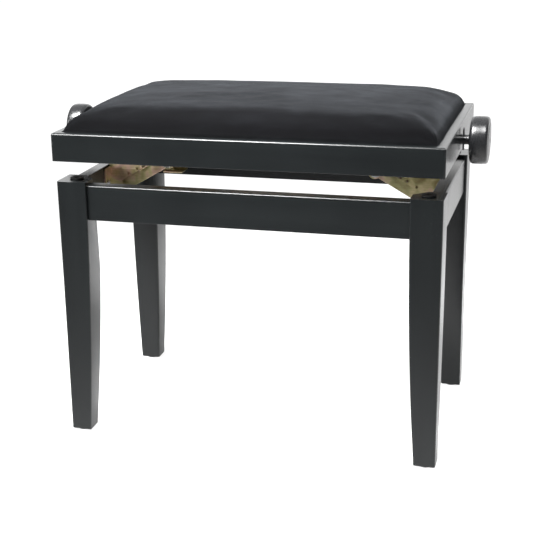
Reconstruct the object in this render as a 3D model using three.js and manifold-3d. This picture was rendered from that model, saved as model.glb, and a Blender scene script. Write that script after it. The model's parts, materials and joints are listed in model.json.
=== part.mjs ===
// Height-adjustable piano bench, in millimetres, +Z up.
// Origin: on the floor, under the middle of the bench. +X runs along the seat, +Y to its back.
import * as THREE from "three";
import { mergeVertices } from "three/addons/utils/BufferGeometryUtils.js";
import Module from "manifold-3d";

const wasm = await Module();
wasm.setup();

// ---- driving dimensions ----
const gap = 0.3; // between pieces that touch

const seat = { width: 560, depth: 350, top: 464, height: 41, thickness: 22, edge: 3.5, corner: 3 };
const rebate = { width: 10, depth: 9.5 };
const panelThickness = 6;
const cushion = { top: 503, side: 15 };

const base = { width: 556, depth: 337, legTop: 392 };
const leg = { width: 45, depth: 47, bottom: 3, footWidth: 31, footDepth: 29, edge: 2.5 };
const legChamfer = { top: 19, end: 250 }; // on the inner corner: width at the leg's top, and where it ends
const baseRail = { thickness: 20, bottom: 335, top: 387, edge: 3, setBack: 5.5, endSetBack: 3.5 };

const glide = { radius: 11, stemRadius: 2.5, stemTop: 14 };
const buffer = { radius: 10, thickness: 1.9, stemRadius: 3, stemLength: 10 };

const sheet = 2; // steel sheet
const spindleHeight = 441;
const spindleRadius = 6;
const spindleEnd = 307;
const knob = { radius: 34.5, inner: 293.5, outer: 319.5, neckRadius: 7, neckStart: 268 };
const splitPin = { x: 283.5, radius: 1.4, up: 11, down: 15 };

const pivot = { x: 243, lower: 347, angle: THREE.MathUtils.degToRad(29.7), radius: 4 };
const longArmLength = (spindleHeight - pivot.lower) / Math.sin(pivot.angle);
const shortArmLength = longArmLength / 2;
const armHalf = 8; // half the depth of an arm's flanges
const flangeAt = { longArm: 15, shortArm: 19, ear: 23 }; // inner face of each flange, from the middle
const middlePin = { radius: 3.5, headRadius: 9.5 };
const nut = { halfLength: 14, halfWidth: 13.5, halfHeight: 11, trunnionRadius: 3.5, headRadius: 8.5 };
const nutSlot = { halfWidth: 5.7, length: 6.3 };
const cornerBolt = { radius: 4, height: 362, headWidth: 13, headHeight: 5, grip: 28 };
const screw = { radius: 2.5, height: 361, across: 37, length: 8 };
const bushing = { radius: 8.2, outer: 266, flangeRadius: 12, flangeFrom: 253.4 };

// ---- materials ----
function material(color, roughness, metalness = 0) {
  return new THREE.MeshStandardMaterial({ color, roughness, metalness });
}

const lacquer = () => material(0x1d1f21, 0.42);
const velvet = () => material(0x141416, 0.95);
const plywood = () => material(0xb08c5c, 0.75);
const blackPlastic = () => material(0x17181a, 0.4);
const rubber = () => material(0x101010, 0.8);
const chromate = () => material(0xc2a76b, 0.35, 0.9);
const brightSteel = () => material(0xb4b6b8, 0.3, 1);
const blackSteel = () => material(0x202122, 0.5, 0.7);

// ---- solids ----
function solid(geometry) {
  const bare = geometry.clone();
  bare.deleteAttribute("normal");
  bare.deleteAttribute("uv");
  const merged = mergeVertices(bare, 1e-4);
  const vertProperties = new Float32Array(merged.attributes.position.array);
  const triVerts = new Uint32Array(merged.index.array);
  return new wasm.Manifold(new wasm.Mesh({ numProp: 3, vertProperties, triVerts }));
}

function geometryOf(manifold) {
  const mesh = manifold.getMesh();
  const geometry = new THREE.BufferGeometry();
  geometry.setAttribute("position", new THREE.BufferAttribute(new Float32Array(mesh.vertProperties), 3));
  geometry.setIndex(new THREE.BufferAttribute(new Uint32Array(mesh.triVerts), 1));
  return geometry;
}

function joined(first, ...others) {
  const whole = others.reduce((sum, other) => sum.add(solid(other)), solid(first));
  return geometryOf(whole);
}

function cut(body, ...tools) {
  const rest = tools.reduce((left, tool) => left.subtract(solid(tool)), solid(body));
  return geometryOf(rest);
}

function common(first, second) {
  return geometryOf(solid(first).intersect(solid(second)));
}

// A box between two corners.
function box(low, high) {
  const size = high.map((value, axis) => value - low[axis]);
  const geometry = new THREE.BoxGeometry(...size);
  return geometry.translate(...high.map((value, axis) => (value + low[axis]) / 2));
}

// A cylinder between two places along one of the axes "x", "y" or "z", its middle at the other two.
function rod(axis, radius, from, to, [first, second], sides = 12) {
  const geometry = new THREE.CylinderGeometry(radius, radius, to - from, sides);
  const middle = (from + to) / 2;
  if (axis === "x") return geometry.rotateZ(-Math.PI / 2).translate(middle, first, second);
  if (axis === "y") return geometry.translate(first, middle, second);
  return geometry.rotateX(Math.PI / 2).translate(first, second, middle);
}

// A profile of [radius, distance] points turned about the Z axis.
function turned(profile, sides) {
  const points = profile.map(([radius, along]) => new THREE.Vector2(radius, along));
  return new THREE.LatheGeometry(points, sides).rotateX(Math.PI / 2);
}

// An outline drawn with x across and y up, extruded so that it stands along Y from one place to another.
function standing(outline, from, to) {
  const options = { depth: to - from, bevelEnabled: false, curveSegments: 6 };
  return new THREE.ExtrudeGeometry(outline, options).rotateX(Math.PI / 2).translate(0, to, 0);
}

function lying(outline, from, to) {
  const options = { depth: to - from, bevelEnabled: false, curveSegments: 4 };
  return new THREE.ExtrudeGeometry(outline, options).translate(0, 0, from);
}

function polygon(points) {
  return new THREE.Shape(points.map(([x, y]) => new THREE.Vector2(x, y)));
}

function roundedRectangle(left, bottom, right, top, radii, segments = 3) {
  const corners = [
    [right, bottom, -1, 1, -Math.PI / 2],
    [right, top, -1, -1, 0],
    [left, top, 1, -1, Math.PI / 2],
    [left, bottom, 1, 1, Math.PI],
  ];
  const points = corners.flatMap(([x, y, inX, inY, start], corner) => {
    const radius = radii[corner];
    return Array.from({ length: segments + 1 }, (_, step) => {
      const angle = start + (step / segments) * (Math.PI / 2);
      return [x + inX * radius + radius * Math.cos(angle), y + inY * radius + radius * Math.sin(angle)];
    });
  });
  return polygon(points);
}

// A slot-shaped outline whose two round ends are centred at the given distances along x.
function stadium(fromX, toX, radius, centreY = 0) {
  const shape = new THREE.Shape();
  shape.absarc(toX, centreY, radius, -Math.PI / 2, Math.PI / 2, false);
  shape.absarc(fromX, centreY, radius, Math.PI / 2, 1.5 * Math.PI, false);
  return shape;
}

const bench = new THREE.Group();

function place(name, geometry, finish, parent = bench) {
  const mesh = new THREE.Mesh(geometry, finish);
  mesh.name = name;
  parent.add(mesh);
  return mesh;
}

// What is the same at both ends is made for the right one, and turned half a turn for the left one.
const ends = [
  { end: "right", side: 1, group: new THREE.Group() },
  { end: "left", side: -1, group: new THREE.Group() },
];
ends[1].group.rotation.z = Math.PI;
ends.forEach(({ group }) => bench.add(group));

const corners = ends.flatMap(({ end, side }) => [
  { name: `front_${end}`, x: side, y: -1 },
  { name: `back_${end}`, x: side, y: 1 },
]);

// ---- base ----

// The outline is drawn at full size with its outer corner at 0, 0. Going down, the two inner faces curve
// outwards and the chamfer between them dies away.
function legGeometry({ x, y }) {
  const { width, depth, edge, bottom, footWidth, footDepth } = leg;
  const chamfer = legChamfer.top;
  const side = edge * (1 - Math.SQRT1_2);
  const outline = [
    [edge, 0],
    [width - edge, 0],
    [width - side, side],
    [width, edge],
    [width, depth - chamfer],
    [width - chamfer, depth],
    [edge, depth],
    [side, depth - side],
    [0, depth - edge],
    [0, edge],
    [side, side],
  ];
  const steps = 11;
  const shape = polygon(outline.map(([across, along]) => [x * across, y * along]));
  const options = { depth: base.legTop - bottom, bevelEnabled: false, steps };
  const geometry = new THREE.ExtrudeGeometry(shape, options).translate(0, 0, bottom);
  const position = geometry.attributes.position;
  for (let i = 0; i < position.count; i += 1) {
    const z = position.getZ(i);
    const down = (base.legTop - z) / (base.legTop - bottom);
    const flat = chamferAt(z);
    const sizeX = width - (width - footWidth) * down ** 2;
    const sizeY = depth - (depth - footDepth) * down ** 2;
    const across = taper(Math.abs(position.getX(i)), width, sizeX, flat);
    const along = taper(Math.abs(position.getY(i)), depth, sizeY, flat);
    position.setXY(i, x * (base.width / 2 - across), y * (base.depth / 2 - along));
  }
  return geometry;
}

function chamferAt(z) {
  const share = THREE.MathUtils.clamp((z - legChamfer.end) / (base.legTop - legChamfer.end), 0, 1);
  return leg.edge + (legChamfer.top - leg.edge) * share;
}

// Moves a place within the full outline to the same place within the tapered one.
function taper(at, full, size, flat) {
  const knee = full - legChamfer.top;
  if (at <= knee) return (at * (size - flat)) / knee;
  return size - flat + ((at - knee) * flat) / legChamfer.top;
}

function legMiddle({ x, y }, width, depth) {
  return [x * (base.width / 2 - width / 2), y * (base.depth / 2 - depth / 2)];
}

// The corner bolt's axis runs level, at 45 degrees, through the middle of the leg's chamfer.
const chamferMiddle = [
  base.width / 2 - leg.width + legChamfer.top / 2,
  base.depth / 2 - leg.depth + legChamfer.top / 2,
];

function diagonal(geometry, { x, y }) {
  const [middleX, middleY] = chamferMiddle;
  return geometry.rotateZ(Math.atan2(y, x)).translate(x * middleX, y * middleY, cornerBolt.height);
}

corners.forEach((corner) => {
  const foot = legMiddle(corner, leg.footWidth, leg.footDepth);
  const head = legMiddle(corner, leg.width, leg.depth);
  const stemHole = rod("z", glide.stemRadius + gap, 0, glide.stemTop + gap, foot);
  const bufferBottom = base.legTop - buffer.stemLength - gap;
  const bufferHole = rod("z", buffer.stemRadius + gap, bufferBottom, base.legTop + 5, head);
  const boltHole = diagonal(rod("x", cornerBolt.radius + gap, -30, cornerBolt.grip + 2, [0, 0]), corner);
  const wood = cut(legGeometry(corner), stemHole, bufferHole, boltHole);
  place(`leg_${corner.name}`, wood, lacquer());

  const glideProfile = [
    [0, 0],
    [glide.radius - 1.5, 0],
    [glide.radius, 1.2],
    [glide.radius, leg.bottom - gap],
    [glide.stemRadius, leg.bottom - gap],
    [glide.stemRadius, glide.stemTop],
    [0, glide.stemTop],
  ];
  place(`foot_glide_${corner.name}`, turned(glideProfile, 16).translate(...foot, 0), blackPlastic());

  const bufferTop = gap + buffer.thickness;
  const bufferProfile = [
    [0, -buffer.stemLength],
    [buffer.stemRadius, -buffer.stemLength],
    [buffer.stemRadius, gap],
    [buffer.radius, gap],
    [buffer.radius, bufferTop - 0.6],
    [buffer.radius - 0.8, bufferTop],
    [4, bufferTop],
    [2.5, bufferTop - 1.2],
    [0, bufferTop - 1.2],
  ];
  place(`leg_buffer_${corner.name}`, turned(bufferProfile, 16).translate(...head, base.legTop), rubber());
});

// A rail's section has its outer face at x = 0, and a rounder edge at the top of that face.
function railSection() {
  const { thickness, bottom, top, edge } = baseRail;
  return roundedRectangle(-thickness, bottom, 0, top, [1, edge, 1, 1]);
}

function baseRailGeometry(length) {
  return standing(railSection(), -length / 2, length / 2);
}

// Inner faces of the rails, less the gap to what is fixed on them.
const endRailFace = base.width / 2 - baseRail.endSetBack - baseRail.thickness - gap;
const longRailFace = base.depth / 2 - baseRail.setBack - baseRail.thickness - gap;

const frontRailLength = base.width - 2 * leg.width - 2 * gap;
const endRailLength = base.depth - 2 * leg.depth - 2 * gap;
[["front", -1], ["back", 1]].forEach(([name, y]) => {
  const geometry = baseRailGeometry(frontRailLength).rotateZ(y * Math.PI / 2);
  place(`base_rail_${name}`, geometry.translate(0, y * (base.depth / 2 - baseRail.setBack), 0), lacquer());
});
ends.forEach(({ end, group }) => {
  const geometry = baseRailGeometry(endRailLength).translate(base.width / 2 - baseRail.endSetBack, 0, 0);
  const screwHoles = [-1, 1].map((y) => screwHole(y * screw.across));
  place(`base_rail_${end}`, cut(geometry, ...screwHoles), lacquer(), group);
});

// A corner bracket is a strip bent round the inside of the corner: along the end rail, across the corner,
// along the long rail, and from there a level lug with a hole.
const bracket = { bottom: 345, top: 379, standOff: 4, endTab: 16, longTab: 42, lugDepth: 32 };

function cornerBracketGeometry(corner) {
  const { bottom, top, standOff, endTab, longTab, lugDepth } = bracket;
  const [middleX, middleY] = chamferMiddle;
  const reach = endRailFace + longRailFace - (middleX + middleY - standOff * Math.SQRT2);
  const miter = sheet * (Math.SQRT2 - 1);
  const startY = longRailFace - reach;
  const bendX = endRailFace - reach;
  const flip = (points) => points.map(([across, along]) => [corner.x * across, corner.y * along]);
  const strip = flip([
    [endRailFace, startY - endTab],
    [endRailFace, startY],
    [bendX, longRailFace],
    [bendX - longTab, longRailFace],
    [bendX - longTab, longRailFace - sheet],
    [bendX - miter, longRailFace - sheet],
    [endRailFace - sheet, startY - miter],
    [endRailFace - sheet, startY - endTab],
  ]);
  const lug = flip([
    [bendX - longTab, longRailFace - 1],
    [bendX - 3, longRailFace - 1],
    [bendX - 10, longRailFace - lugDepth],
    [bendX - longTab, longRailFace - lugDepth],
  ]);
  const [lugHoleAt] = flip([[bendX - longTab / 2, longRailFace - lugDepth / 2]]);
  const lugHole = rod("z", 3, bottom - 5, bottom + 5, lugHoleAt);
  const boltHole = diagonal(rod("x", cornerBolt.radius + gap, -30, 10, [0, 0]), corner);
  const bent = joined(lying(polygon(strip), bottom, top), lying(polygon(lug), bottom, bottom + sheet));
  return cut(bent, lugHole, boltHole);
}

function cornerBoltGeometry(corner) {
  const { radius, headWidth, headHeight, grip } = cornerBolt;
  const seatOfHead = -(bracket.standOff + sheet + gap);
  const head = rod("x", headWidth / Math.sqrt(3), seatOfHead - headHeight, seatOfHead, [0, 0], 6);
  return diagonal(joined(head, rod("x", radius, seatOfHead - 1, grip, [0, 0])), corner);
}

corners.forEach((corner) => {
  place(`corner_bracket_${corner.name}`, cornerBracketGeometry(corner), chromate());
  place(`corner_bolt_${corner.name}`, cornerBoltGeometry(corner), brightSteel());
});

// ---- brackets and pivots of the scissors ----

// Lower bracket: a plate on the end rail, with an ear each side of the arm that reaches out above the arm.
function lowerBracket() {
  const [bottom, top, gussetTop, gussetEnd] = [338, 384, 388, 200];
  const plate = box([endRailFace - sheet, -46, bottom], [endRailFace, 46, top]);
  const ear = polygon([
    [endRailFace, gussetTop],
    [gussetEnd, gussetTop],
    [gussetEnd, 382],
    [234, 362.5],
    [232, pivot.lower],
    [236, bottom],
    [endRailFace, bottom],
  ]);
  const pinHole = rod("y", pivot.radius + gap, -40, 40, [pivot.x, pivot.lower]);
  const sightHoles = [[222, 374], [208, 382]].map((at) => rod("y", 2.2, -40, 40, at, 10));
  const screwHoles = [-1, 1].map((y) => screwHole(y * screw.across));
  return cut(joined(plate, ...bothSides(ear, flangeAt.ear)), pinHole, ...sightHoles, ...screwHoles);
}

function screwHole(y) {
  return rod("x", screw.radius + gap, endRailFace - 5, endRailFace + screw.length + gap, [y, screw.height]);
}

// The same sheet flange in front of and behind the middle, its inner faces at the given distance from it.
function bothSides(outline, inner) {
  return [standing(outline, inner, inner + sheet), standing(outline, -inner - sheet, -inner)];
}

// A pin along Y, drawn from its middle to one end as [radius, distance] points and mirrored for the other.
function pinAlongY(half, x, z) {
  const other = half.map(([radius, along]) => [radius, -along]).reverse();
  return turned([...other, ...half], 12).rotateX(-Math.PI / 2).translate(x, 0, z);
}

function lowerPivotPin() {
  const armSide = flangeAt.longArm + sheet + gap;
  const earSide = flangeAt.ear + sheet + gap;
  return pinAlongY([
    [pivot.radius, armSide],
    [6, armSide],
    [6, flangeAt.ear - gap],
    [pivot.radius, flangeAt.ear - gap],
    [pivot.radius, earSide],
    [6.5, earSide],
    [6.5, earSide + 1.6],
    [0, earSide + 1.6],
  ], pivot.x, pivot.lower);
}

function bracketScrew(y) {
  const seatOfHead = endRailFace - sheet - gap;
  const { radius, length, height } = screw;
  const profile = [
    [0, seatOfHead - 2.6],
    [2.6, seatOfHead - 2.4],
    [4.5, seatOfHead - 0.7],
    [4.5, seatOfHead],
    [radius, seatOfHead],
    [radius, endRailFace + length],
    [0, endRailFace + length],
  ];
  return turned(profile, 12).rotateY(Math.PI / 2).translate(0, y, height);
}

ends.forEach(({ end, side, group }) => {
  place(`lower_bracket_${end}`, lowerBracket(), chromate(), group);
  place(`lower_pivot_pin_${end}`, lowerPivotPin(), brightSteel(), group);
  place(`lower_bracket_screw_${end}_front`, bracketScrew(-side * screw.across), brightSteel(), group);
  place(`lower_bracket_screw_${end}_back`, bracketScrew(side * screw.across), brightSteel(), group);
});

// Upper bracket: a plate inside the seat frame's end, with two ears that carry a riveted stud each.
const seatRailFace = seat.width / 2 - seat.thickness - gap;

function upperBracket() {
  const ear = stadium(pivot.x, seatRailFace + 12, 10, spindleHeight);
  const room = box([200, -40, 400], [seatRailFace, 40, 480]);
  const ears = bothSides(ear, flangeAt.ear).map((one) => common(one, room));
  const low = [seatRailFace - sheet, -46, spindleHeight - 13];
  const high = [seatRailFace, 46, spindleHeight + 10];
  const studEnd = flangeAt.shortArm - gap;
  const studs = [-1, 1].flatMap((y) => [
    rodBeside(y, pivot.radius, studEnd - 1, flangeAt.ear + 1, [pivot.x, spindleHeight]),
    rodBeside(y, 5.5, studEnd - 1.5, studEnd, [pivot.x, spindleHeight]),
  ]);
  const spindleHole = rod("x", bushing.radius + 0.8, 250, 262, [0, spindleHeight], 16);
  return cut(joined(box(low, high), ...ears, ...studs), spindleHole);
}

// A cylinder along Y between two distances from the middle, in front of it or behind it.
function rodBeside(y, radius, near, far, at) {
  return y > 0 ? rod("y", radius, near, far, at) : rod("y", radius, -far, -near, at);
}

function spindleBushing() {
  const { radius, outer, flangeRadius, flangeFrom } = bushing;
  const flangeTo = seatRailFace - sheet - gap;
  const profile = [
    [spindleRadius + gap, flangeFrom],
    [flangeRadius, flangeFrom],
    [flangeRadius, flangeTo],
    [radius, flangeTo],
    [radius, outer],
    [spindleRadius + gap, outer],
    [spindleRadius + gap, flangeFrom],
  ];
  return alongSpindle(profile);
}

function alongSpindle(profile, sides = 16) {
  return turned(profile, sides).rotateY(Math.PI / 2).translate(0, 0, spindleHeight);
}

ends.forEach(({ end, group }) => {
  place(`upper_bracket_${end}`, upperBracket(), chromate(), group);
  place(`spindle_bushing_${end}`, spindleBushing(), blackPlastic(), group);
});

// ---- seat ----

// A seat rail lies along Y with its outer face at x = 0. The rebate for the panel is at its inner top edge.
function seatRailSection() {
  const { top, height, thickness, edge } = seat;
  const rim = thickness - rebate.width;
  const arc = [0, 1, 2, 3].map((step) => (step / 3) * (Math.PI / 2));
  return polygon([
    [-1, top - height],
    [0, top - height + 1],
    ...arc.map((angle) => [-edge + edge * Math.cos(angle), top - edge + edge * Math.sin(angle)]),
    [-rim, top],
    [-rim, top - rebate.depth],
    [-thickness, top - rebate.depth],
    [-thickness, top - height],
  ]);
}

// The plan of a rail whose outer face is at x = outer: mitred ends, and half of each rounded corner.
function mitrePlan(outer, half) {
  const { corner, thickness } = seat;
  const arc = [0, 1, 2].map((step) => (step * Math.PI) / 8);
  const end = [
    ...arc.map((angle) => [
      outer - corner + corner * Math.cos(angle),
      half - corner + corner * Math.sin(angle) - gap / 2,
    ]),
    [outer - thickness, half - thickness - gap / 2],
  ];
  const otherEnd = end.map(([x, y]) => [x, -y]).reverse();
  return polygon([...otherEnd, ...end]);
}

function seatRail(outer, half) {
  const bar = standing(seatRailSection(), -half, half).translate(outer, 0, 0);
  return common(bar, lying(mitrePlan(outer, half), seat.top - seat.height - 5, seat.top + 5));
}

[["front", -1], ["back", 1]].forEach(([name, y]) => {
  const geometry = seatRail(seat.depth / 2, seat.width / 2).rotateZ((y * Math.PI) / 2);
  place(`seat_rail_${name}`, geometry, lacquer());
});
ends.forEach(({ end, group }) => {
  const spindleHole = rod("x", bushing.radius + gap, 240, 300, [0, spindleHeight], 16);
  place(`seat_rail_${end}`, cut(seatRail(seat.width / 2, seat.depth / 2), spindleHole), lacquer(), group);
});

const rim = seat.thickness - rebate.width;
const panelHalf = { x: seat.width / 2 - rim - gap, y: seat.depth / 2 - rim - gap };
const panelBottom = seat.top - rebate.depth + gap;
const panelTop = panelBottom + panelThickness;
const panel = box([-panelHalf.x, -panelHalf.y, panelBottom], [panelHalf.x, panelHalf.y, panelTop]);
place("seat_panel", panel, plywood());

// The cushion's sides are upright, and its top edge is rounded.
function cushionGeometry() {
  const { top, side } = cushion;
  const [x, y] = [panelHalf.x - side, panelHalf.y - side];
  const bottom = panelTop + gap;
  const outline = roundedRectangle(-x, -y, x, y, [6, 6, 6, 6], 3);
  const depth = 40;
  const options = { depth, bevelEnabled: true, bevelThickness: side, bevelSize: side, bevelSegments: 3 };
  const block = new THREE.ExtrudeGeometry(outline, options).translate(0, 0, top - side - depth);
  return common(block, box([-300, -300, bottom], [300, 300, top + 10]));
}

place("seat_cushion", cushionGeometry(), velvet());

// ---- spindle and knobs ----
const pinHoles = ends.map(({ side }) => splitPinHole(side * splitPin.x));

function splitPinHole(x) {
  return rod("z", splitPin.radius + gap, spindleHeight - 20, spindleHeight + 20, [x, 0]);
}

const spindle = rod("x", spindleRadius, -spindleEnd, spindleEnd, [0, spindleHeight], 16);
place("spindle", cut(spindle, ...pinHoles), brightSteel());

// Drawn from the neck's end over the rounded body to the flat outer face, and back along the blind bore.
function knobGeometry() {
  const { radius, inner, outer, neckRadius, neckStart } = knob;
  const bore = spindleRadius + gap;
  return cut(alongSpindle([
    [bore, neckStart],
    [neckRadius, neckStart],
    [neckRadius, inner],
    [radius - 11, inner],
    [radius - 6.5, inner + 2],
    [radius - 3, inner + 5.5],
    [radius - 0.8, inner + 10],
    [radius, inner + 15],
    [radius - 0.4, inner + 20],
    [radius - 2.2, outer - 1.2],
    [radius - 3.4, outer],
    [0, outer],
    [0, spindleEnd + gap],
    [bore, spindleEnd + gap],
    [bore, neckStart],
  ], 30), splitPinHole(splitPin.x));
}

// The pin goes down through the neck. Its eye is above, and its ends are bent aside below.
function splitPinGeometry() {
  const { x, radius, up, down } = splitPin;
  const eye = new THREE.TorusGeometry(3, radius * 0.8, 6, 12).rotateY(Math.PI / 2);
  const bent = rod("z", radius * 0.8, 0, 7, [0, 0], 8).rotateX(0.7);
  return joined(
    rod("z", radius, spindleHeight - down, spindleHeight + up, [x, 0], 10),
    eye.translate(x, 0, spindleHeight + up + 2.6),
    bent.translate(x, 0, spindleHeight - down + 0.8),
  );
}

function thrustWasher() {
  const [from, to] = [bushing.outer + gap, knob.neckStart - gap];
  const [bore, radius] = [spindleRadius + gap, knob.neckRadius + 0.8];
  return alongSpindle([[bore, from], [radius, from], [radius, to], [bore, to], [bore, from]]);
}

ends.forEach(({ end, group }) => {
  place(`knob_${end}`, knobGeometry(), blackPlastic(), group);
  place(`split_pin_${end}`, splitPinGeometry(), blackSteel(), group);
  place(`thrust_washer_${end}`, thrustWasher(), brightSteel(), group);
});

// ---- scissors ----

// An arm is drawn along x from its fixed pivot, with its web to one side, and then swung into place.
function longArm() {
  const outline = [
    stadium(0, longArmLength, armHalf),
    stadium(longArmLength, longArmLength + nutSlot.length, armHalf + 1),
  ];
  const outer = flangeAt.longArm + sheet;
  const flanges = outline.flatMap((shape) => bothSides(shape, flangeAt.longArm));
  const web = box([22, -outer, armHalf - sheet], [150, outer, armHalf]);
  const holes = [
    rod("y", pivot.radius + gap, -40, 40, [0, 0]),
    rod("y", middlePin.radius + gap, -40, 40, [shortArmLength, 0]),
    standing(stadium(longArmLength, longArmLength + nutSlot.length, nutSlot.halfWidth), -40, 40),
  ];
  const turn = Math.PI + pivot.angle;
  return cut(joined(...flanges, web), ...holes).rotateY(turn).translate(pivot.x, 0, pivot.lower);
}

function shortArm() {
  const [slotX, slotZ, slotRadius] = [shortArmLength + 1.7, 1.3, 6.5];
  const outer = flangeAt.shortArm + sheet;
  const eye = stadium(slotX - 0.5, slotX, slotRadius + 3.5, slotZ);
  const outline = [stadium(0, shortArmLength, armHalf), eye];
  const flanges = outline.flatMap((shape) => bothSides(shape, flangeAt.shortArm));
  const web = box([14, -outer, armHalf - sheet], [58, outer, armHalf]);
  const holes = [
    rod("y", pivot.radius + gap, -40, 40, [0, 0]),
    rod("y", slotRadius, -40, 40, [slotX, slotZ]),
  ];
  const turn = Math.PI - pivot.angle;
  return cut(joined(...flanges, web), ...holes).rotateY(turn).translate(pivot.x, 0, spindleHeight);
}

function middlePinGeometry() {
  const { radius, headRadius } = middlePin;
  const armSide = flangeAt.longArm + sheet + gap;
  const headSide = flangeAt.shortArm + sheet + gap;
  const x = pivot.x - shortArmLength * Math.cos(pivot.angle);
  const z = pivot.lower + shortArmLength * Math.sin(pivot.angle);
  return pinAlongY([
    [radius, armSide],
    [5.5, armSide],
    [5.5, flangeAt.shortArm - gap],
    [radius, flangeAt.shortArm - gap],
    [radius, headSide],
    [headRadius, headSide],
    [headRadius, headSide + 1.4],
    [0, headSide + 1.4],
  ], x, z);
}

// The nut is a block on the spindle, with a trunnion and its riveted washer on each side.
function travellingNut() {
  const { halfLength, halfWidth, halfHeight, trunnionRadius, headRadius } = nut;
  const x = pivot.x - longArmLength * Math.cos(pivot.angle);
  const low = [x - halfLength, -halfWidth, spindleHeight - halfHeight];
  const high = [x + halfLength, halfWidth, spindleHeight + halfHeight];
  const armSide = flangeAt.longArm + sheet + gap;
  const trunnion = rod("y", trunnionRadius, -armSide - 1, armSide + 1, [x, spindleHeight]);
  const washers = [-1, 1].map((y) => rodBeside(y, headRadius, armSide, armSide + 1.4, [x, spindleHeight]));
  const bore = rod("x", spindleRadius + gap, x - 30, x + 30, [0, spindleHeight], 16);
  return cut(joined(box(low, high), trunnion, ...washers), bore);
}

ends.forEach(({ end, group }) => {
  place(`long_arm_${end}`, longArm(), chromate(), group);
  place(`short_arm_${end}`, shortArm(), chromate(), group);
  place(`middle_pin_${end}`, middlePinGeometry(), brightSteel(), group);
  place(`travelling_nut_${end}`, travellingNut(), brightSteel(), group);
});

export default bench;
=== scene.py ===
"""Height-adjustable piano bench: the looks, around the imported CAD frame. Metres, +Z up, +Y to the back."""
import json
import math

import bmesh
import bpy
import numpy as np
from mathutils import Matrix, Vector, noise


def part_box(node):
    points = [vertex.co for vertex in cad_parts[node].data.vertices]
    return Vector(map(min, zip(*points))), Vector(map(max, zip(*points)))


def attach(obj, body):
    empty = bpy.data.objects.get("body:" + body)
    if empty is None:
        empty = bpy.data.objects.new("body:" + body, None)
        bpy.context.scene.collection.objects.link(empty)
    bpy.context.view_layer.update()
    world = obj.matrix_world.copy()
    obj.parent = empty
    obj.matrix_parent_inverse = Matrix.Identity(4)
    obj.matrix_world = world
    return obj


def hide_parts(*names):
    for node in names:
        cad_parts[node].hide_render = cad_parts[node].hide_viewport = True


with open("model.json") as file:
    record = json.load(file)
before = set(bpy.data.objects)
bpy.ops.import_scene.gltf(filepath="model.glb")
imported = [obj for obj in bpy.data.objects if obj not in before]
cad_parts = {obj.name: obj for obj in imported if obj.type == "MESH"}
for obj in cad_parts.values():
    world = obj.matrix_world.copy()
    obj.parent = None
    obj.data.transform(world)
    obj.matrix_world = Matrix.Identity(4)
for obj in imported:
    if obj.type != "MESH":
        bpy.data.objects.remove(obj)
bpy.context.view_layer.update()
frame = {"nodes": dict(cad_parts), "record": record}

MM = 0.001
CORNERS = [f"{depth}_{end}" for depth in ("front", "back") for end in ("left", "right")]
ENDS = {"right": 1, "left": -1}


# ---- camera and light ----

def look(location, yaw, pitch, roll):
    """The camera's matrix: yaw turns it to the left of +Y, pitch down, roll anticlockwise, in degrees."""
    yaw, pitch, roll = (math.radians(angle) for angle in (yaw, pitch, roll))
    forward = Vector((-math.sin(yaw) * math.cos(pitch), math.cos(yaw) * math.cos(pitch), -math.sin(pitch)))
    right = Vector((math.cos(yaw), math.sin(yaw), 0))
    up = right.cross(forward)
    across = right * math.cos(roll) + up * math.sin(roll)
    upward = up * math.cos(roll) - right * math.sin(roll)
    turn = Matrix((across, upward, -forward)).transposed()
    return Matrix.Translation(location) @ turn.to_4x4()


def make_camera():
    data = bpy.data.cameras.new("camera")
    data.sensor_width = 36
    data.lens = 79.6
    data.shift_x = 0.0898
    camera = bpy.data.objects.new("camera", data)
    bpy.context.scene.collection.objects.link(camera)
    camera.matrix_world = look((0.4608, -1.737, 0.7957), yaw=17.21, pitch=17.81, roll=-1.33)
    bpy.context.scene.camera = camera


def soft_light(name, place, target, size, power, spread=180):
    """A rectangular soft box at place, facing target, with a grid that narrows it to spread degrees."""
    data = bpy.data.lights.new(name, "AREA")
    data.shape = "RECTANGLE"
    data.size, data.size_y = size
    data.energy = power
    data.spread = math.radians(spread)
    light = bpy.data.objects.new(name, data)
    bpy.context.scene.collection.objects.link(light)
    light.location = place
    light.rotation_euler = (Vector(target) - Vector(place)).to_track_quat("-Z", "Y").to_euler()
    light.visible_camera = False


def make_studio():
    world = bpy.data.worlds.new("studio")
    world.use_nodes = True
    background = world.node_tree.nodes["Background"]
    background.inputs["Color"].default_value = (0.97, 0.985, 1, 1)
    background.inputs["Strength"].default_value = 0.2
    bpy.context.scene.world = world
    bpy.context.scene.view_settings.view_transform = "Standard"

    soft_light("key", (-0.5, -0.68, 1.75), (-0.05, 0, 0.45), (0.8, 0.7), 16.5, spread=46)
    soft_light("key_right", (0.38, -0.68, 1.75), (0.05, 0, 0.45), (0.8, 0.7), 4.5, spread=44)
    soft_light("front_left", (-2.1, -1.9, 1.1), (0.1, 0, 0.45), (1.0, 1.0), 5, spread=40)
    soft_light("backdrop", (0.4, 6.0, 1.6), (0.4, 0, 0.6), (10.0, 3.0), 130)
    soft_light("over_floor", (0, 4.4, 3.6), (0, 3.9, 0), (10.0, 8.0), 230)

    floor = new_object("floor", grid_plane(20.0))
    floor.data.materials.append(floor_material())


# ---- meshes ----

def new_object(name, mesh):
    made = bpy.data.objects.new(name, mesh)
    bpy.context.scene.collection.objects.link(made)
    return made


def mesh_from(name, points, faces, smooth=True):
    mesh = bpy.data.meshes.new(name)
    mesh.from_pydata([tuple(point) for point in points], [], faces)
    mesh.validate()
    work = bmesh.new()
    work.from_mesh(mesh)
    bmesh.ops.recalc_face_normals(work, faces=work.faces)
    work.to_mesh(mesh)
    work.free()
    mesh.polygons.foreach_set("use_smooth", [smooth] * len(mesh.polygons))
    return mesh


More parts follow.
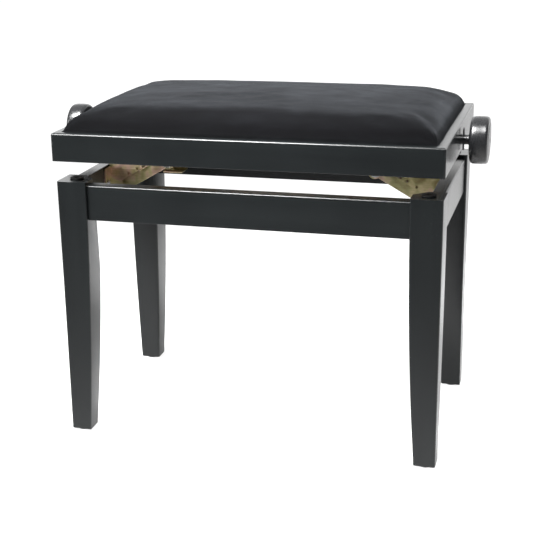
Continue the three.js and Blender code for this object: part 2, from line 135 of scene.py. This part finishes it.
def grid_plane(half):
    corners = [(-half, -half, 0), (half, -half, 0), (half, half, 0), (-half, half, 0)]
    return mesh_from("floor", corners, [(0, 1, 2, 3)])


def crease(obj, degrees):
    """Edges sharper than this many degrees stay sharp, and all others are shaded round."""
    obj.data.set_sharp_from_angle(angle=math.radians(degrees))
    return obj


def lathe(name, profile, sides=64):
    """A closed body turned about Z from [radius, height] points in millimetres, radius 0 at its poles."""
    points, faces, rings = [], [], []
    for radius, height in profile:
        if radius == 0:
            rings.append([len(points)])
            points.append((0, 0, height * MM))
            continue
        start = len(points)
        rings.append(list(range(start, start + sides)))
        for step in range(sides):
            angle = step * math.tau / sides
            points.append((radius * MM * math.cos(angle), radius * MM * math.sin(angle), height * MM))
    for low, high in zip(rings, rings[1:]):
        for step in range(sides):
            following = (step + 1) % sides
            corners = [low[step % len(low)], low[following % len(low)]]
            corners += [high[following % len(high)], high[step % len(high)]]
            unique = list(dict.fromkeys(corners))
            if len(unique) > 2:
                faces.append(unique)
    if profile[0] == profile[-1]:
        last = {rings[-1][step]: rings[0][step] for step in range(sides)}
        faces = [[last.get(corner, corner) for corner in face] for face in faces]
        points, faces = without_unused(points, faces)
    return mesh_from(name, points, faces)


def without_unused(points, faces):
    used = sorted({corner for face in faces for corner in face})
    place = {old: new for new, old in enumerate(used)}
    return [points[old] for old in used], [[place[corner] for corner in face] for face in faces]


def rounded(corner_points, radius, steps=4):
    """The same open profile with each inner corner rounded, in the profile's own units."""
    out = [tuple(corner_points[0])]
    for before, at, after in zip(corner_points, corner_points[1:], corner_points[2:]):
        before, at, after = Vector(before), Vector(at), Vector(after)
        into, away = (before - at), (after - at)
        reach = min(radius, into.length / 2.2, away.length / 2.2)
        start, end = at + into.normalized() * reach, at + away.normalized() * reach
        for step in range(steps + 1):
            t = step / steps
            out.append(tuple(start * (1 - t) ** 2 + at * 2 * t * (1 - t) + end * t ** 2))
    out.append(tuple(corner_points[-1]))
    return out


def placed(obj, matrix):
    obj.data.transform(matrix)
    if matrix.determinant() < 0:
        obj.data.flip_normals()
    return obj


ALONG_X = Matrix.Rotation(math.radians(90), 4, "Y")


def finished(obj, body, slot, material, *nodes):
    """Gives a new piece its finish and its body, and hides the CAD nodes it stands for."""
    obj.data.materials.clear()
    obj.data.materials.append(material)
    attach(obj, body)
    if nodes:
        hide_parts(*nodes)
    return obj


# ---- materials ----

class Finish:
    """A Principled material under construction. Uniform values go straight on the shader's own sockets."""

    def __init__(self, name, color, roughness, **uniform):
        self.data = bpy.data.materials.new(name)
        self.data.use_nodes = True
        self.nodes = self.data.node_tree.nodes
        self.links = self.data.node_tree.links
        self.shader = self.nodes["Principled BSDF"]
        self.place = self.add("ShaderNodeTexCoord").outputs["Object"]
        self.relief = None
        self.set("Base Color", (*color, 1))
        self.set("Roughness", roughness)
        for socket, value in uniform.items():
            self.set(socket.replace("_", " ").title().replace("Ior", "IOR"), value)
        self.data.diffuse_color = (*color, 1)

    def add(self, kind, inputs=(), **settings):
        node = self.nodes.new(kind)
        for key, value in settings.items():
            setattr(node, key, value)
        for key, value in dict(inputs).items():
            self.feed(node.inputs[key], value)
        return node

    def feed(self, socket, value):
        if isinstance(value, bpy.types.NodeSocket):
            self.links.new(value, socket)
        else:
            socket.default_value = value

    def set(self, socket, value):
        self.feed(self.shader.inputs[socket], value)

    def stretched(self, scale):
        """Object coordinates, stretched by a factor along each axis."""
        return self.add("ShaderNodeMapping", {"Vector": self.place, "Scale": scale}).outputs["Vector"]

    def noise(self, scale, detail=2.0, roughness=0.5, stretch=None, distortion=0.0):
        vector = self.stretched(stretch) if stretch else self.place
        inputs = {"Vector": vector, "Scale": scale, "Detail": detail}
        inputs |= {"Roughness": roughness, "Distortion": distortion}
        return self.add("ShaderNodeTexNoise", inputs).outputs["Fac"]

    def span(self, value, low, high, from_low=0.3, from_high=0.7):
        inputs = {"Value": value, "From Min": from_low, "From Max": from_high, "To Min": low, "To Max": high}
        return self.add("ShaderNodeMapRange", inputs).outputs["Result"]

    def ramp(self, value, stops):
        node = self.add("ShaderNodeValToRGB", {"Fac": value})
        elements = node.color_ramp.elements
        while len(elements) < len(stops):
            elements.new(0.5)
        for element, (position, color) in zip(elements, stops):
            element.position = position
            element.color = (*color, 1)
        return node.outputs["Color"]

    def mix(self, factor, first, second, blend="MIX"):
        node = self.add("ShaderNodeMix", data_type="RGBA", blend_type=blend)
        self.feed(node.inputs[0], factor)
        for socket, value in ((6, first), (7, second)):
            self.feed(node.inputs[socket], (*value, 1) if isinstance(value, tuple) else value)
        return node.outputs[2]

    def bump(self, height, strength, distance):
        inputs = {"Height": height, "Strength": strength, "Distance": distance}
        if self.relief:
            inputs["Normal"] = self.relief
        self.relief = self.add("ShaderNodeBump", inputs).outputs["Normal"]
        self.set("Normal", self.relief)


def floor_material():
    """A white sheet that glows a little from below, as on a light table, and dies away towards the front."""
    paper = Finish(
        "studio_floor", (0.34, 0.34, 0.34), 0.9, specular_ior_level=0.1,
        emission_color=(1, 1, 1, 1),
    )
    tone = paper.noise(1.5, 3)
    paper.set("Base Color", paper.ramp(tone, [(0.3, (0.33, 0.33, 0.33)), (0.7, (0.35, 0.35, 0.35))]))
    depth = paper.add("ShaderNodeSeparateXYZ", {"Vector": paper.place}).outputs["Y"]
    paper.set("Emission Strength", paper.span(depth, 0.12, 0.84, -1.7, -0.5))
    paper.bump(paper.noise(300, 3), 0.05, 0.0004)
    return paper.data


def lacquer(grain):
    """Satin black lacquer over wood: faint grain along one axis and fine orange peel."""
    wood = Finish(f"lacquer_{grain}", (0.0042, 0.0052, 0.0055), 0.24, specular_ior_level=0.29)
    across, along = 1.0, 0.045
    stretch = tuple(along if axis == grain else across for axis in "xyz")
    pores = wood.noise(620, 3, 0.6, stretch)
    bands = wood.noise(55, 3, 0.55, stretch, 0.4)
    cloud = wood.noise(9, 2)
    peel = wood.noise(420, 2)
    tone = wood.mix(0.45, bands, cloud)
    stops = [(0.35, (0.0034, 0.0042, 0.0045)), (0.65, (0.0052, 0.0063, 0.0066))]
    wood.set("Base Color", wood.ramp(tone, stops))
    wood.set("Roughness", wood.span(wood.mix(0.5, cloud, peel), 0.2, 0.28))
    wood.bump(bands, 0.03, 0.0003)
    wood.bump(pores, 0.06, 0.00012)
    wood.bump(peel, 0.03, 0.0001)
    return wood.data


def velvet():
    """Short black pile: brushed patches, a fine nap, and a sheen turned down on the pad's sides as painted shade, so
    they read darker than its top.
    """
    pile = Finish(
        "velvet_pile", (0.002, 0.002, 0.0023), 0.95, specular_ior_level=0.04,
        sheen_weight=0.075, sheen_roughness=0.36, sheen_tint=(0.8, 0.86, 0.95, 1),
    )
    brushed = pile.noise(16, 3, 0.55, (0.6, 1.5, 1.5), 1.4)
    strokes = pile.noise(60, 3, 0.6, (0.55, 1.0, 1.0), 0.8)
    nap = pile.noise(2600, 2, 0.7)
    tone = pile.mix(0.35, brushed, strokes)
    stops = [
        (0.3, (0.0008, 0.0008, 0.001)),
        (0.52, (0.0017, 0.0018, 0.0021)),
        (0.72, (0.0036, 0.0038, 0.0044)),
    ]
    pile.set("Base Color", pile.mix(pile.span(nap, 0.0, 0.5), pile.ramp(tone, stops), (0.0008, 0.0008, 0.001)))
    pile.set("Roughness", pile.span(tone, 0.86, 1.0))
    low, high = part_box("seat_cushion")
    height = pile.add("ShaderNodeSeparateXYZ", {"Vector": pile.place}).outputs["Z"]
    # Painted shade: the sheen falls to under a quarter on the pad's sides and stays full on its top.
    painted_side_shade = pile.span(height, 0.22, 1.0, low.z + 12 * MM, high.z - 12 * MM)
    lit = pile.add("ShaderNodeMath", {0: pile.span(tone, 0.06, 0.15), 1: painted_side_shade}, operation="MULTIPLY")
    pile.set("Sheen Weight", lit.outputs["Value"])
    pile.bump(strokes, 0.25, 0.0009)
    pile.bump(nap, 0.5, 0.0003)
    return pile.data


def plywood():
    wood = Finish("birch_plywood", (0.32, 0.22, 0.12), 0.65)
    figure = wood.noise(26, 4, 0.6, (0.08, 1, 1), 1.4)
    pores = wood.noise(900, 2, 0.6, (0.03, 1, 1))
    stops = [(0.32, (0.2, 0.125, 0.06)), (0.5, (0.29, 0.195, 0.105)), (0.7, (0.38, 0.27, 0.155))]
    wood.set("Base Color", wood.mix(wood.span(pores, 0.0, 0.35), wood.ramp(figure, stops), (0.13, 0.08, 0.04)))
    wood.set("Roughness", wood.span(figure, 0.52, 0.7))
    wood.bump(pores, 0.2, 0.0002)
    return wood.data


def knob_finish():
    """Turned and lacquered: fine rings about the spindle, softly speckled."""
    black = Finish("knob_satin", (0.006, 0.0063, 0.007), 0.27, specular_ior_level=0.4)
    speckle = black.noise(900, 2)
    cloud = black.noise(38, 3)
    rings = black.noise(700, 2, 0.6, (1, 0.02, 0.02))
    stops = [(0.35, (0.0045, 0.0048, 0.0054)), (0.68, (0.008, 0.0083, 0.009))]
    black.set("Base Color", black.ramp(cloud, stops))
    black.set("Roughness", black.span(black.mix(0.5, cloud, speckle), 0.22, 0.31))
    black.bump(rings, 0.04, 0.00012)
    black.bump(speckle, 0.07, 0.0001)
    return black.data


def rubber():
    dark = Finish("rubber_black", (0.012, 0.012, 0.012), 0.75, specular_ior_level=0.3)
    grit = dark.noise(1500, 3, 0.7)
    bloom = dark.noise(60, 3)
    dark.set("Base Color", dark.ramp(bloom, [(0.35, (0.009, 0.009, 0.009)), (0.7, (0.02, 0.02, 0.019))]))
    dark.set("Roughness", dark.span(grit, 0.62, 0.88))
    dark.bump(grit, 0.3, 0.00015)
    return dark.data


def moulded_plastic():
    black = Finish("moulded_black", (0.016, 0.016, 0.017), 0.42)
    grain = black.noise(1800, 2)
    flow = black.noise(45, 3, 0.5, None, 1.0)
    black.set("Base Color", black.ramp(flow, [(0.35, (0.012, 0.012, 0.013)), (0.7, (0.021, 0.021, 0.022))]))
    black.set("Roughness", black.span(flow, 0.36, 0.52))
    black.bump(grain, 0.15, 0.0001)
    return black.data


def chromate():
    """Zinc with a yellow-iridescent chromate: gold to olive to pink clouds over rolled sheet."""
    metal = Finish("yellow_chromate_zinc", (0.6, 0.5, 0.3), 0.36, metallic=1.0)
    cloud = metal.noise(20, 2, 0.5, None, 1.2)
    fine = metal.noise(110, 3, 0.6, None, 0.8)
    rolled = metal.noise(900, 2, 0.6, (0.05, 1, 0.6))
    stops = [
        (0.32, (0.22, 0.17, 0.09)),
        (0.42, (0.38, 0.36, 0.19)),
        (0.50, (0.56, 0.49, 0.29)),
        (0.58, (0.64, 0.44, 0.37)),
        (0.66, (0.48, 0.38, 0.24)),
        (0.74, (0.24, 0.22, 0.12)),
    ]
    tint = metal.ramp(metal.mix(0.15, cloud, fine), stops)
    metal.set("Base Color", metal.mix(metal.span(rolled, 0.0, 0.3), tint, (0.14, 0.11, 0.06)))
    metal.set("Roughness", metal.span(fine, 0.28, 0.46))
    metal.bump(rolled, 0.1, 0.0001)
    return metal.data


def bright_steel():
    metal = Finish("zinc_plated_steel", (0.6, 0.61, 0.62), 0.3, metallic=1.0)
    spangle = metal.noise(160, 3, 0.6)
    fine = metal.noise(1400, 2, 0.6)
    metal.set("Base Color", metal.ramp(spangle, [(0.35, (0.46, 0.475, 0.49)), (0.7, (0.68, 0.685, 0.69))]))
    metal.set("Roughness", metal.span(spangle, 0.22, 0.42))
    metal.bump(fine, 0.1, 0.00008)
    return metal.data


def dark_steel():
    metal = Finish("blackened_steel", (0.05, 0.05, 0.055), 0.38, metallic=0.85)
    scale = metal.noise(400, 3, 0.6)
    metal.set("Base Color", metal.ramp(scale, [(0.35, (0.03, 0.03, 0.034)), (0.7, (0.09, 0.088, 0.09))]))
    metal.set("Roughness", metal.span(scale, 0.3, 0.55))
    metal.bump(scale, 0.12, 0.0001)
    return metal.data


# ---- CAD nodes that stay ----

def shading_group(name, angle):
    """Geometry nodes that join a CAD mesh's loose triangles and shade it round up to an angle."""
    group = bpy.data.node_groups.new(name, "GeometryNodeTree")
    group.interface.new_socket("Geometry", in_out="INPUT", socket_type="NodeSocketGeometry")
    group.interface.new_socket("Geometry", in_out="OUTPUT", socket_type="NodeSocketGeometry")
    nodes, links = group.nodes, group.links
    source, target = nodes.new("NodeGroupInput"), nodes.new("NodeGroupOutput")
    strip = nodes.new("GeometryNodeRemoveAttribute")
    strip.inputs["Name"].default_value = "custom_normal"
    merge = nodes.new("GeometryNodeMergeByDistance")
    merge.inputs["Distance"].default_value = 0.00002
    edge_angle = nodes.new("GeometryNodeInputMeshEdgeAngle")
    under = nodes.new("FunctionNodeCompare")
    under.data_type, under.operation = "FLOAT", "LESS_THAN"
    under.inputs[1].default_value = math.radians(angle)
    faces, edges = (nodes.new("GeometryNodeSetShadeSmooth") for _ in range(2))
    edges.domain = "EDGE"
    links.new(source.outputs[0], strip.inputs["Geometry"])
    links.new(strip.outputs[0], merge.inputs["Geometry"])
    links.new(merge.outputs[0], faces.inputs["Geometry"])
    links.new(faces.outputs[0], edges.inputs["Geometry"])
    links.new(edge_angle.outputs["Unsigned Angle"], under.inputs[0])
    links.new(under.outputs[0], edges.inputs["Shade Smooth"])
    links.new(edges.outputs[0], target.inputs[0])
    return group


def dressed(node, material, group, bevel=0.0):
    """A CAD node keeps its shape and gets its finish, round shading and, on request, eased edges."""
    obj = frame["nodes"][node]
    for index in range(len(obj.data.materials)):
        obj.data.materials[index] = material
    obj.modifiers.new("shade", "NODES").node_group = group
    if bevel:
        eased = obj.modifiers.new("eased_edges", "BEVEL")
        eased.width = bevel
        eased.segments = 2
        eased.limit_method = "ANGLE"
        eased.angle_limit = math.radians(38)
        eased.harden_normals = False
    even = obj.modifiers.new("even_shading", "WEIGHTED_NORMAL")
    even.keep_sharp = True
    return obj


def dress_wood(finishes, group):
    grain_of = {"leg": "z", "base_rail_front": "x", "base_rail_back": "x", "base_rail": "y"}
    grain_of |= {"seat_rail_front": "x", "seat_rail_back": "x", "seat_rail": "y"}
    wooden = [f"leg_{corner}" for corner in CORNERS]
    wooden += [f"{kind}_rail_{side}" for kind in ("base", "seat") for side in ("front", "back", "left", "right")]
    for node in wooden:
        grain = next(axis for start, axis in grain_of.items() if node.startswith(start))
        dressed(node, finishes[grain], group)


# ---- cushion ----

def outline(half_x, half_y, radius):
    """A rounded rectangle about the middle, with the same number of points whatever its size."""
    radius = max(radius, 0.3 * MM)
    arcs = []
    for turn, (x, y) in enumerate([(1, 1), (-1, 1), (-1, -1), (1, -1)]):
        centre = (x * (half_x - radius), y * (half_y - radius))
        angles = [math.radians(90 * (turn + step / 8)) for step in range(9)]
        arcs.append([(centre[0] + radius * math.cos(a), centre[1] + radius * math.sin(a)) for a in angles])
    points = []
    for turn, arc in enumerate(arcs):
        start, end = arc[-1], arcs[(turn + 1) % 4][0]
        count = 56 if turn % 2 == 0 else 34
        points += arc
        for step in range(1, count):
            share = step / count
            points.append((start[0] + (end[0] - start[0]) * share, start[1] + (end[1] - start[1]) * share))
    return points


def pad_block():
    """The pad before it swells: upright sides, a tight round shoulder, a low dome, and corners that dip."""
    low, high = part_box("seat_cushion")
    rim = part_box("seat_rail_front")[1].z
    half_x, half_y = high.x - 0.6 * MM, high.y - 0.6 * MM
    end_reach, reach, rise = 24 * MM, 11 * MM, 10 * MM
    dome, dip = 10 * MM, 3 * MM
    shoulder = high.z - 4 * MM - dome - rise
    foot_radius, corner_radius = 1 * MM, 12 * MM

    rings = []  # inset along x, inset along y, height, corner radius
    for step in range(9):
        share = step / 8
        height = low.z + (shoulder - low.z) * share
        opened = min(1, max(0, (height - rim) / (7 * MM)))
        bulge = 1.2 * MM * math.sin(math.pi * share) * opened
        rings.append((-bulge, -bulge, height, foot_radius + (corner_radius - foot_radius) * opened))
    for step in range(1, 9):
        angle = math.radians(90 * step / 8)
        roll, lift = 1 - math.cos(angle), math.sin(angle)
        rings.append((end_reach * roll, reach * roll, shoulder + rise * lift, corner_radius))
    for step in range(1, 25):
        further = (half_y - reach - 0.5 * MM) * step / 24
        rings.append((end_reach + further, reach + further, shoulder + rise, corner_radius - further))

    points, faces = [], []
    for inset_x, inset_y, height, radius in rings:
        for x, y in outline(half_x - inset_x, half_y - inset_y, radius):
            across = min(1, abs(x) / (half_x - end_reach))
            along = min(1, abs(y) / (half_y - reach))
            swell = dome * (1 - across ** 3) * (1 - along ** 2)
            sunk = dip * (abs(x) / half_x) ** 8 * (abs(y) / half_y) ** 5
            share = max(0, (height - rim) / (shoulder + rise - rim))
            points.append((x, y, height + (swell if inset_y >= reach else 0) - sunk * share))
    count = len(points) // len(rings)
    for ring in range(len(rings) - 1):
        for step in range(count):
            following = (step + 1) % count
            here, above = ring * count, (ring + 1) * count
            faces.append((here + step, here + following, above + following, above + step))
    faces.append(tuple(range(count)))
    faces.append(tuple(len(points) - count + step for step in range(count)))
    return new_object("cushion_velvet", mesh_from("cushion_velvet", points, faces))


def apply_modifiers(obj):
    evaluated = obj.evaluated_get(bpy.context.evaluated_depsgraph_get())
    mesh = bpy.data.meshes.new_from_object(evaluated)
    obj.modifiers.clear()
    obj.data = mesh


def places(mesh):
    found = np.empty(len(mesh.vertices) * 3)
    mesh.vertices.foreach_get("co", found)
    return found.reshape(-1, 3)


def move_to(mesh, points):
    mesh.vertices.foreach_set("co", points.ravel())
    mesh.update()


def even_mesh(obj):
    remesh = obj.modifiers.new("even_mesh", "REMESH")
    remesh.mode = "VOXEL"
    remesh.voxel_size = 4.5 * MM
    apply_modifiers(obj)


def inflate(obj, most):
    """Cloth filled with a little pressure. The pad's foot stays put, and no point goes further than most."""
    start = places(obj.data)
    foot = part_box("seat_cushion")[0].z + 5 * MM
    held = obj.vertex_groups.new(name="foot")
    held.add([int(index) for index in np.flatnonzero(start[:, 2] < foot)], 1, "REPLACE")
    cloth = obj.modifiers.new("fill", "CLOTH")
    cloth.settings.vertex_group_mass = "foot"
    cloth.settings.quality = 5
    cloth.settings.use_pressure = True
    cloth.settings.uniform_pressure_force = 4
    cloth.settings.effector_weights.gravity = 0
    cloth.settings.tension_stiffness = 12
    cloth.settings.compression_stiffness = 12
    cloth.settings.bending_stiffness = 4
    cloth.point_cache.frame_start, cloth.point_cache.frame_end = 1, 20
    for step in range(1, 21):
        bpy.context.scene.frame_set(step)
        bpy.context.view_layer.update()
    apply_modifiers(obj)
    bpy.context.scene.frame_set(1)
    shift = places(obj.data) - start
    length = np.linalg.norm(shift, axis=1, keepdims=True)
    shift *= np.minimum(1, most / np.maximum(length, 1e-9))
    move_to(obj.data, start + shift)
    obj.vertex_groups.clear()
    free = obj.vertex_groups.new(name="free")
    free.add([int(index) for index in np.flatnonzero(start[:, 2] >= foot)], 1, "REPLACE")
    calm = obj.modifiers.new("calm", "SMOOTH")
    calm.factor, calm.iterations, calm.vertex_group = 0.5, 26, "free"
    apply_modifiers(obj)
    obj.vertex_groups.clear()


def settle(obj):
    """Presses the pad into the space its solid holds, and adds the soft pulls and tucks of tight velvet."""
    low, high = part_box("seat_cushion")
    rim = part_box("seat_rail_front")[1].z
    mesh = obj.data
    points = places(mesh)
    normals = np.empty(len(mesh.vertices) * 3)
    mesh.vertices.foreach_get("normal", normals)
    normals = normals.reshape(-1, 3)
    tuck_reach, tucks, tuck_phase = 0.045, 15, 2.2
    broad_across, broad_up, fine_across, fine_up, fine_share = 14, 30, 40, 60, 0.4
    wave_height, tuck_height = 0.5, 0.6
    for index, (x, y, z) in enumerate(points):
        side = max(0.0, 1 - abs(normals[index][2])) ** 0.6
        corner = math.hypot(high.x - abs(x), high.y - abs(y))
        around = math.atan2(high.y - abs(y), high.x - abs(x))
        turn = math.sin(tucks * around + tuck_phase * math.copysign(1, x))
        tuck = math.exp(-((corner / tuck_reach) ** 2)) * turn
        broad = noise.noise(Vector((x * broad_across, y * broad_across, z * broad_up)))
        fine = noise.noise(Vector((x * fine_across, y * fine_across, z * fine_up)))
        wave = broad + fine_share * fine
        lift = (wave_height * side * wave + wave_height * wave + tuck_height * side * tuck) * MM
        points[index] += normals[index] * lift
    edge, tucked = 0.1 * MM, 4 * MM
    down = points[:, 2] < rim + 0.5 * MM
    for axis, limit in ((0, high.x), (1, high.y)):
        most = np.where(down, limit - edge, limit + 2.5 * MM)
        outermost = down & (np.abs(points[:, axis]) > limit - tucked)
        pressed = np.sign(points[:, axis]) * most
        points[:, axis] = np.where(outermost, pressed, np.clip(points[:, axis], -most, most))
    points[:, 2] = np.maximum(points[:, 2], low.z)
    move_to(mesh, points)


def make_cushion(material):
    pad = pad_block()
    even_mesh(pad)
    inflate(pad, 6 * MM)
    finer = pad.modifiers.new("finer", "SUBSURF")
    finer.levels = finer.render_levels = 1
    apply_modifiers(pad)
    settle(pad)
    pad.data.polygons.foreach_set("use_smooth", [True] * len(pad.data.polygons))
    finished(pad, "seat", "velvet", material, "seat_cushion")


# ---- turned pieces ----

def flowing(points, steps=5):
    """A smooth line through points, with the ends kept."""
    points = [Vector(point) for point in points]
    line = [points[0] * 2 - points[1], *points, points[-1] * 2 - points[-2]]
    out = []
    for before, start, end, after in zip(line, line[1:], line[2:], line[3:]):
        for step in range(steps):
            t = step / steps
            out.append(
                0.5 * ((2 * start) + (end - before) * t + (2 * before - 5 * start + 4 * end - after) * t ** 2
                       + (3 * start - before - 3 * end + after) * t ** 3)
            )
    return [tuple(point) for point in out] + [tuple(points[-1])]


def middle(node):
    low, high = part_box(node)
    return (low + high) / 2


def make_knob(end, side, material):
    """Drawn for the right end: a neck, a full round body, and an outer face with a shallow turned groove."""
    low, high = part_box("knob_right")
    inner_end, outer = low.x / MM, high.x / MM
    radius = (high.z - low.z) / 2 / MM
    inner = outer - 26
    neck = 7
    bore = (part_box("spindle")[1].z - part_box("spindle")[0].z) / 2 / MM + 0.3
    spindle_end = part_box("spindle")[1].x / MM + 0.3
    body = flowing([
        (radius - 6.2, inner), (radius - 2.9, inner + 1.1), (radius - 0.9, inner + 3.6), (radius - 0.2, inner + 7.5),
        (radius, inner + 13), (radius - 0.2, inner + 19), (radius - 0.9, outer - 2.6), (radius - 2.4, outer - 0.7),
        (radius - 4.4, outer),
    ])
    front = rounded([
        (radius - 4.4, outer), (radius - 9, outer + 0.5), (radius - 9.5, outer), (radius - 11.5, outer + 0.1),
        (radius - 12, outer + 0.7), (4, outer + 1.2), (2, outer + 0.2), (0.6, outer + 0.1),
    ], 0.4, 3)
    stem = rounded([
        (bore, inner_end), (neck, inner_end), (neck, inner - 2.5), (neck + 2.5, inner), (radius - 6.2, inner),
    ], 1.2, 4)
    profile = [(bore, spindle_end), *stem, *body[1:], *front[1:], (0, outer + 0.1)]
    knob = new_object(f"knob_body_{end}", lathe("knob", [(0, spindle_end), *profile], 96))
    placed(knob, Matrix.Translation((0, 0, middle("spindle").z)) @ ALONG_X)
    if side < 0:
        placed(knob, Matrix.Rotation(math.pi, 4, "Z"))
    crease(knob, 40)
    finished(knob, "spindle", "knob_black", material, f"knob_{end}")


def make_spindle(material):
    """One rod whose two halves carry threads of opposite hand, and whose ends are plain."""
    low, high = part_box("spindle")
    radius, lead, depth = (high.z - low.z) / 2, 5 * MM, 0.9 * MM
    thread_from, thread_to = 34 * MM, 247 * MM
    runs = [(-high.x, -thread_to, 12), (-thread_to, -thread_from, 350), (-thread_from, thread_from, 12)]
    runs += [(thread_from, thread_to, 350), (thread_to, high.x, 12)]
    stations = [start + (end - start) * step / count for start, end, count in runs for step in range(count)]
    stations.append(high.x)
    sides = 24

    def radius_at(x, turn):
        inside = min(abs(x) - thread_from, thread_to - abs(x))
        if inside <= 0:
            return radius
        share = (abs(x) / lead + math.copysign(1, x) * turn) % 1
        flank = min(max((abs(share - 0.5) - 0.16) / 0.14, 0), 1)
        return radius - depth * flank * min(1, inside / lead)

    points, faces = [], []
    for x in stations:
        for step in range(sides):
            turn = step / sides
            reach = radius_at(x, turn)
            if abs(x) > high.x - 0.01 * MM:
                reach -= 0.7 * MM
            points.append((x, reach * math.cos(turn * math.tau), reach * math.sin(turn * math.tau)))
    for ring in range(len(stations) - 1):
        for step in range(sides):
            following = (step + 1) % sides
            here, there = ring * sides, (ring + 1) * sides
            faces.append((here + step, here + following, there + following, there + step))
    faces.append(tuple(range(sides)))
    faces.append(tuple(len(points) - sides + step for step in range(sides)))
    rod = new_object("spindle_threaded", mesh_from("spindle_threaded", points, faces))
    placed(rod, Matrix.Translation((0, 0, middle("spindle").z)))
    crease(rod, 35)
    finished(rod, "spindle", "bright_steel", material, "spindle")


def make_feet_and_buffers(plastic, rubber_finish):
    for corner in CORNERS:
        foot = middle(f"foot_glide_{corner}")
        profile = rounded([(0, 0), (11, 0), (11, 2.7), (2.5, 2.7), (2.5, 14), (0, 14)], 1.1, 4)
        glide = new_object(f"glide_{corner}", lathe("glide", profile, 48))
        placed(glide, Matrix.Translation((foot.x, foot.y, 0)))
        crease(glide, 40)
        finished(glide, "base", "black_plastic", plastic, f"foot_glide_{corner}")

        low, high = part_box(f"leg_buffer_{corner}")
        centre = middle(f"leg_buffer_{corner}")
        top = (high.z - low.z) / MM
        profile = rounded([
            (0, 0), (3, 0), (3, top - 1.9), (10, top - 1.9), (10, top), (4.2, top), (2.6, top - 1.3), (0.6, top - 1.4),
        ], 0.7, 4) + [(0, top - 1.4)]
        disc = new_object(f"buffer_{corner}", lathe("buffer", profile, 48))
        placed(disc, Matrix.Translation((centre.x, centre.y, low.z)))
        crease(disc, 40)
        finished(disc, "base", "rubber", rubber_finish, f"leg_buffer_{corner}")


make_camera()
make_studio()

ROUND_SHADING = shading_group("round_shading", 50)
SHEET_SHADING = shading_group("sheet_shading", 36)
dress_wood({axis: lacquer(axis) for axis in "xyz"}, ROUND_SHADING)

FINISHES = {
    "yellow_chromate": chromate(),
    "bright_steel": bright_steel(),
    "dark_steel": dark_steel(),
    "rubber": rubber(),
    "black_plastic": moulded_plastic(),
    "knob_black": knob_finish(),
    "plywood": plywood(),
    "velvet": velvet(),
}
for part in frame["record"]["subparts"]:
    if part["material_slot"] in FINISHES:
        dressed(part["node"], FINISHES[part["material_slot"]], SHEET_SHADING, 0.3 * MM)

make_cushion(FINISHES["velvet"])
for end, side in ENDS.items():
    make_knob(end, side, FINISHES["knob_black"])
make_spindle(FINISHES["bright_steel"])
make_feet_and_buffers(FINISHES["black_plastic"], FINISHES["rubber"])
